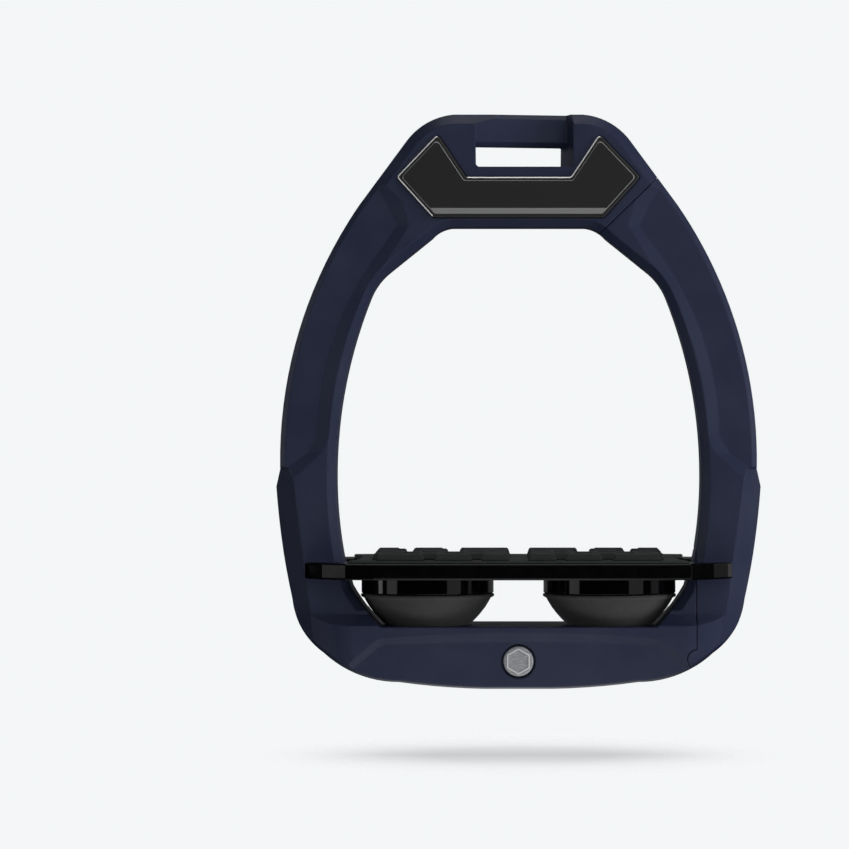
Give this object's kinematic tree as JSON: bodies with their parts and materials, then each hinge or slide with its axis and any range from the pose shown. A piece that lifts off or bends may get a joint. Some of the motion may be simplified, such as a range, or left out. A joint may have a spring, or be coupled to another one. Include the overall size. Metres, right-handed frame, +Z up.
{
  "type": "stirrup iron",
  "caption": "Safety stirrup iron: a wide sprung tread on two elastomer cushions inside a tapered composite frame whose outer arm is hinged and swings outward.",
  "frame": {"origin": "middle of the small flat under the base, on its underside", "axes": "+X across the iron towards the hinged outer arm, -Y towards the front face with the trim plate, +Z up to the leather eye"},
  "size_m": [0.1648, 0.07, 0.195],
  "materials": {
    "navy_composite": "satin navy glass-filled composite",
    "gloss_black": "gloss black",
    "tread_black": "gloss black glass-filled nylon",
    "grip_rubber": "matte moulded rubber",
    "elastomer": "smooth satin elastomer",
    "steel": "bright zinc",
    "spring_steel": "drawn wire",
    "magnet": "nickel plated",
    "polished": "polished",
    "brass": "knurled"
  },
  "bodies": {
    "frame": {"frame_body": "navy_composite", "arm_hinge_pin": "steel", "catch_sleeve": "steel", "catch_spring": "spring_steel", "trim_plate": "gloss_black", "trim_magnets": "magnet", "badge": "polished", "base_screws": "steel", "lower_insert_right": "steel", "lower_insert_left": "steel"},
    "outer_arm": {"safety_arm": "navy_composite", "arm_return_spring": "spring_steel", "catch_cup": "steel"},
    "latch": {"catch_ball": "steel"},
    "cushions": {"elastomer_right": "elastomer", "elastomer_left": "elastomer"},
    "tread": {"elastomer_cup_right": "gloss_black", "elastomer_cup_left": "gloss_black", "threaded_inserts": "brass", "tread_plate": "tread_black", "tread_screws": "steel", "grip_pad": "grip_rubber"}
  },
  "joints": [
    {"name": "arm_opening", "type": "hinge", "parent": "frame", "child": "outer_arm", "pos_m": [0.06005, 0, 0.0108], "axis": [0, 1, 0], "range_deg": [0, 60], "stiffness_Nm_per_rad": 0.35, "springref_deg": -57.3, "deforming": ["arm_return_spring"]},
    {"name": "catch_press", "type": "slide", "parent": "frame", "child": "latch", "axis": [-0.6978, 0, 0.7163], "range_m": [0, 0.0009], "stiffness_N_per_m": 3000, "springref_m": -0.0015},
    {"name": "tread_bounce", "type": "slide", "parent": "frame", "child": "cushions", "axis": [0, 0, 1], "range_m": [-0.0025, 0], "stiffness_N_per_m": 60000, "deforming": ["elastomer_right", "elastomer_left"]},
    {"name": "tread_pitch", "type": "hinge", "parent": "cushions", "child": "tread", "pos_m": [0, 0, 0.0321], "axis": [1, 0, 0], "range_deg": [-3, 3], "stiffness_Nm_per_rad": 25, "deforming": ["elastomer_right", "elastomer_left"]}
  ]
}
